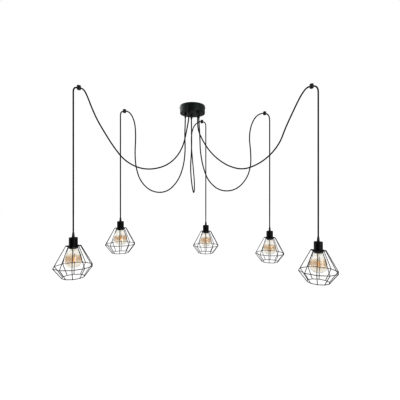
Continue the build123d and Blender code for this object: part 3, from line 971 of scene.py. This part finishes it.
def socket_grid():
    """A turned cup, open below, whose space takes the bulb's cap."""
    under = plate_under - 8.4 * MM
    socket_top = holder_top - 11.5 * MM
    body = outline(
        [
            (socket_space_radius, under), (socket_radius, under), (socket_radius, socket_top),
            (0, socket_top), (0, contact_top), (socket_space_radius, contact_top),
            (socket_space_radius, under),
        ],
        0.5 * MM,
    )
    return [turned(body, 64)]


def shade_ring_grid():
    """A turned ring whose outer wall ripples: r is less by 0.35 (1 - cos 40 a) / 2 millimetres."""
    under = plate_under - 9 * MM
    ring = outline(
        [
            (clearance_radius, under), (20.8 * MM, under), (shade_radius, under + 1.6 * MM),
            (shade_radius, plate_under - 0.8 * MM), (21.2 * MM, plate_under),
            (clearance_radius, plate_under), (clearance_radius, under),
        ],
        0.4 * MM,
    )
    grid = turned(ring, shade_columns)
    angle = np.arange(shade_columns) / shade_columns * 2 * np.pi
    reach = np.linalg.norm(grid[..., :2], axis=-1)
    ripple = rib_depth * (np.cos(shade_ribs * angle) - 1) / 2
    grid[..., :2] *= np.where(reach > ribbed_from, 1 + ripple / shade_radius, 1)[..., None]
    return [grid]


print(f"shade ring: a grip rib every {2 * math.pi * shade_radius / MM / shade_ribs:.1f} mm")

# %% [markdown]
# The bulb is blown into a pear shape: widest a third of the way up, and drawn in slowly to the neck. The
# crown is an elliptic arc, and a cubic curve leaves it upright and comes into the neck. The same outline,
# one wall in, makes the inner skin.

# %% Bulb glass
glass_wall = 1.0 * MM
crown_height = 28.8 * MM
upright_to = 50 * MM
shoulder_radius = 30 * MM
shoulder_height = 73.8 * MM
neck_radius = 14.2 * MM
neck_length = 1.4 * MM
glass_mouth_radius = 13.5 * MM


def glass_profile(wall):
    """Crown: (R sin a, low + H (1 - cos a)) with a from 0 to 90 degrees. Flank: a cubic curve from the
    widest ring, steered by two points, to the neck. Every radius is less by the wall, and the lowest
    point is higher by it."""
    low = cap_under - glass_height + wall
    radius = globe_radius - wall
    rise = crown_height - wall
    angle = np.linspace(0, math.pi / 2, 36)
    crown = np.stack([radius * np.sin(angle), low + rise * (1 - np.cos(angle))], axis=1)
    widest = crown[-1]
    first = np.array([radius, upright_to])
    second = np.array([shoulder_radius - wall, shoulder_height])
    neck = np.array([neck_radius - wall, cap_under - neck_length])
    share = np.linspace(0, 1, 40)[1:, None]
    flank = (
        (1 - share) ** 3 * widest + 3 * share * (1 - share) ** 2 * first
        + 3 * share**2 * (1 - share) * second + share**3 * neck
    )
    return np.concatenate([crown, flank, [[glass_mouth_radius - wall, cap_under]]])


glass_outline = np.concatenate([glass_profile(0), glass_profile(glass_wall)[::-1]])
glass_grid = [turned(glass_outline, 72)]
glass_heights = glass_outline[:, 1]
glass_v = (glass_heights - glass_heights.min()) / (glass_heights.max() - glass_heights.min())
print(f"bulb: {2 * globe_radius / MM:.0f} mm across, its glass {glass_height / MM:.0f} mm high")

# %% [markdown]
# The screw cap is rolled sheet with the round thread of every household bulb. The thread is a wave in the
# radius that climbs one pitch for each turn, so it is a formula of the angle and the height. The insulator
# and the contact at its tip are turned.

# %% Bulb cap
cap_columns = 72
thread_radius = 12.6 * MM
thread_half_depth = 0.55 * MM
thread_pitch = 3.6 * MM
thread_fade = 2.5 * MM
insulator_height = 6 * MM


def cap_grid():
    """Shell radius r = 12.6 + 0.55 f cos(2 pi z / 3.6 - a) in millimetres, where f falls to 0 at both
    ends. The profile of the insulator and the contact follows it."""
    low, high = cap_under, contact_top - insulator_height
    height = np.linspace(low, high, 90)[:, None]
    angle = (np.arange(cap_columns) / cap_columns * 2 * np.pi)[None, :]
    fade = np.clip(np.minimum(height - low, high - height) / thread_fade, 0, 1)
    radius = thread_radius + thread_half_depth * fade * np.cos(2 * np.pi * height / thread_pitch - angle)
    shell = np.stack(
        [radius * np.cos(angle), radius * np.sin(angle), np.broadcast_to(height, radius.shape)], axis=-1
    )
    tip = outline(
        [
            (12.4 * MM, high), (7.5 * MM, contact_top - 2 * MM), (4.5 * MM, contact_top - 1.8 * MM),
            (4.3 * MM, contact_top - 0.4 * MM), (0, contact_top),
        ],
        0.5 * MM,
    )
    return [np.concatenate([shell, turned(tip, cap_columns)])]


print(f"cap: a thread of {thread_pitch / MM} mm pitch on a cap {cap_length / MM:.0f} mm long")

# %% [markdown]
# Inside the glass a clear stem reaches down from the cap, with a pinched end that holds a thin rod. The
# rod carries the wires that lead to the four slanting sticks. The stem is turned, and the rod, the wires
# and the sticks are short straight tubes.

# %% Stem and sticks
stick_count = 4
stick_step_deg = 360 / stick_count
stick_circle = 5 * MM
stick_low, stick_high = 21 * MM, 47 * MM
stick_twist_deg = 50
stick_radius = 0.9 * MM
lead_radius = 0.35 * MM
rod_radius = 0.5 * MM
rod_top, rod_foot = 52 * MM, 16.5 * MM
foot_hub = 17 * MM


def stem_grid():
    """A turned stem: a wide foot in the bulb's neck, a slim middle and a thicker, pinched end."""
    stem = outline(
        [
            (0, cap_under - 1 * MM), (9 * MM, cap_under - 1 * MM), (8 * MM, 78 * MM), (3.2 * MM, 66 * MM),
            (2.6 * MM, 56 * MM), (3.4 * MM, 52 * MM), (0, 50 * MM),
        ],
        2.5 * MM,
    )
    return [turned(stem, 40)]


def between(start, end, count):
    """Points in even steps on the straight line from start to end."""
    return np.linspace(np.asarray(start, float), np.asarray(end, float), count)


def stick_ends(number):
    """Low and high end of a stick: both on one circle, the high end turned on by the twist."""
    low = turned_about_z((stick_circle, 0, stick_low), stick_step_deg * number)
    high = turned_about_z((stick_circle, 0, stick_high), stick_step_deg * number + stick_twist_deg)
    return low, high


def stick_grids():
    """The sticks are straight tubes between their ends."""
    return [
        tube(between(*stick_ends(number), 12), stick_radius, (0, 1, 0.3), sides=12)
        for number in range(stick_count)
    ]


def lead_grids():
    """Wires from the rod's top to each stick's top and from a hub to each stick's foot, and the rod."""
    grids = []
    for number in range(stick_count):
        low, high = stick_ends(number)
        for hub_height, end in ((rod_top, high), (foot_hub, low)):
            lead = between((0, 0, hub_height), end, 6)
            grids.append(tube(lead, lead_radius, (0.1, 0.2, 1), sides=8))
    rod = between((0, 0, rod_top), (0, 0, rod_foot), 10)
    grids.append(tube(rod, rod_radius, (1, 0, 0), sides=8))
    return grids


print("filament:", stick_count, "sticks of", round((stick_high - stick_low) / MM), "mm height")

# %% [markdown]
# All pieces of a lamp stand in one table: grids, material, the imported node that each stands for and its
# slot. The stem, the sticks and their wires stand for one node together. The loop reads the place of each
# lamp from the joint that turns it, which lies on top of its holder.

# %% Five lamps
grip_grid = nose(
    collar_radius=6.6 * MM, collar_height=7 * MM, tip_radius=4.4 * MM, height=24 * MM, flats=8
)
lamp_pieces = {
    "cage_wires": (cage_wires + cage_beads, wire_coat, "cage", "wire_paint"),
    "cage_plate": (plate_grid(), wire_coat, "cage", "wire_paint"),
    "holder_cup": (holder_grid(), holder_coat, "lamp_holder", "holder_paint"),
    "socket_body": (socket_grid(), thermoset_black, "holder_socket", "socket_plastic"),
    "ring_ribbed": (shade_ring_grid(), thermoset_black, "shade_ring", "holder_paint"),
    "grip_nose": ([placed(grip_grid, (0, 0, holder_top))], nylon_black, "cord_grip", "gland_plastic"),
    "glass_globe": (glass_grid, amber, "bulb_glass", "amber_glass"),
    "cap_thread": (cap_grid(), nickel, "bulb_cap", "cap_metal"),
    "stem_glass": (stem_grid(), clear_glass, "bulb_filament", "filament"),
    "sticks": (stick_grids(), phosphor, "bulb_filament", "filament"),
    "lead_wires": (lead_grids(), nickel, "bulb_filament", "filament"),
}
for number, turn in enumerate(lamp_turns_deg, start=1):
    x, y, grip_z = joints[f"turn_{number}"]["pos_m"]
    place = (x, y, grip_z - holder_top)
    for name, (grids, material, node, slot) in lamp_pieces.items():
        piece = skin(
            f"{name}_{number}",
            [placed(grid, place, turn) for grid in grids],
            material,
            v_rows=glass_v if name == "glass_globe" else None,
        )
        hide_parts(f"{node}_{number}")
        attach(piece, f"lamp_{number}")
    print(f"lamp {number}: {len(lamp_pieces)} pieces, its belt {-place[2]:.3f} m under the ceiling")

# %% [markdown]
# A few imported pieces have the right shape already: the bracket, the terminal block, the nuts and the
# screws. They only get their finishes.

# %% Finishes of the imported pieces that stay
kept = {
    "canopy_bracket": zinc,
    "terminal_block": nylon_white,
    "cover_screws": black_steel,
    "gland_nuts": nylon_black,
    "clamp_screws": black_steel,
}
for name, material in kept.items():
    for held in nodes[name].material_slots:
        held.material = material
    print(name, "takes", material.name, "in", len(nodes[name].material_slots), "slot")

# %% [markdown]
# The studio is plain: a lit floor of opal acrylic far below, just short of white, and a white surround.
# To the camera and through glass the surround is white. What the pieces mirror is darker, so that they
# stay black: only three papers, one behind and one to each side, give the canopy its pale edges. A paper
# is a brightness that rises as a direction turns towards it. The pieces neither mirror the floor nor are
# lit by it.

# %% Floor and surround
floor_height = -2.2
floor_half = 30
white = (1, 1, 1, 1)
papers_full_at = 0.95

floor_mesh = bpy.data.meshes.new("floor")
floor_mesh.from_pydata(
    [(x * floor_half, y * floor_half, floor_height) for x, y in ((-1, -1), (1, -1), (1, 1), (-1, 1))],
    [],
    [(0, 1, 2, 3)],
)
floor = bpy.data.objects.new("floor", floor_mesh)
scene.collection.objects.link(floor)
floor_paint = start_material(
    "opal_acrylic_floor_lit",
    Base_Color=colour("#5e5e5e"),
    Roughness=0.9,
    Emission_Strength=0.93,
    Emission_Color=white,
)[0]
floor_mesh.materials.append(floor_paint)
floor.visible_glossy = False
floor.visible_diffuse = False

world = bpy.data.worlds.new("studio_surround")
world.use_nodes = True
scene.world = world
tree = world.node_tree
background = tree.nodes["Background"]
rays = add_node(tree, "ShaderNodeLightPath")
seen = add_node(
    tree,
    "ShaderNodeMath",
    {0: rays.outputs["Is Camera Ray"], 1: rays.outputs["Is Transmission Ray"]},
    operation="MAXIMUM",
).outputs[0]
direction = add_node(tree, "ShaderNodeTexCoord").outputs["Generated"]


def paper(facing, start, low, high):
    """Brightness that rises from low to high as a direction's dot product with the facing one goes from
    start to 0.95."""
    along = add_node(
        tree, "ShaderNodeVectorMath", {0: direction, 1: facing}, operation="DOT_PRODUCT"
    ).outputs["Value"]
    return add_node(
        tree,
        "ShaderNodeMapRange",
        {"Value": along, "From Min": start, "From Max": papers_full_at, "To Min": low, "To Max": high},
    ).outputs["Result"]


behind = paper(facing=(0, 1, 0), start=0.0, low=0.06, high=0.42)
left_behind = paper(facing=(-0.9, 0.44, 0), start=0.45, low=0.0, high=2.2)
right = paper(facing=(0.97, -0.24, 0), start=0.2, low=0.0, high=0.85)
sides = add_node(tree, "ShaderNodeMath", {0: left_behind, 1: right}, operation="ADD").outputs[0]
papers = add_node(tree, "ShaderNodeMath", {0: behind, 1: sides}, operation="ADD").outputs[0]
strength = add_node(
    tree, "ShaderNodeMix", {"Factor": seen, 2: papers, 3: 1.0}, data_type="FLOAT"
).outputs[0]
tree.links.new(strength, background.inputs["Strength"])
background.inputs["Color"].default_value = white
print("surround: 3 papers around a white background, and a floor", -floor_height, "m down")

# %% [markdown]
# Three softboxes light the pieces. The wide one stands low and to the right, so that each bulb mirrors it
# as a bright patch right of its middle, while the canopy above doesn't. All three are hidden from the
# camera and from light that comes through glass, or the bulbs would look white from behind. The
# photograph is a small picture in which thin wires and cords look dark. A render averages light over a
# pixel, which makes them paler, so the view's gamma is below 1: white stays white and greys get darker.

# %% Lamps and view
view_gamma = 0.72


def soft_lamp(name, place, aim, size, power):
    """A rectangular lamp that looks from its place at its aim, with its size in metres and its power in
    watts."""
    light = bpy.data.lights.new(name, "AREA")
    light.shape = "RECTANGLE"
    light.size, light.size_y = size
    light.energy = power
    lamp = bpy.data.objects.new(name, light)
    lamp.location = place
    lamp.rotation_mode = "QUATERNION"
    lamp.rotation_quaternion = (Vector(aim) - Vector(place)).to_track_quat("-Z", "Y")
    lamp.visible_camera = False
    lamp.visible_transmission = False
    scene.collection.objects.link(lamp)
    print(name, "gives", power, "W")


soft_lamp("right_wide_softbox", place=(1.5, -1.9, -0.5), aim=(0, 0, -0.8), size=(1.3, 1.3), power=38)
soft_lamp("left_strip_softbox", place=(-1.7, -1.6, 0.3), aim=(0, 0, -0.5), size=(0.4, 1.0), power=5)
soft_lamp("top_softbox", place=(0, -0.8, 1.6), aim=(0, 0, -0.6), size=(2.4, 1.6), power=40)
scene.view_settings.view_transform = "Standard"
scene.view_settings.gamma = view_gamma
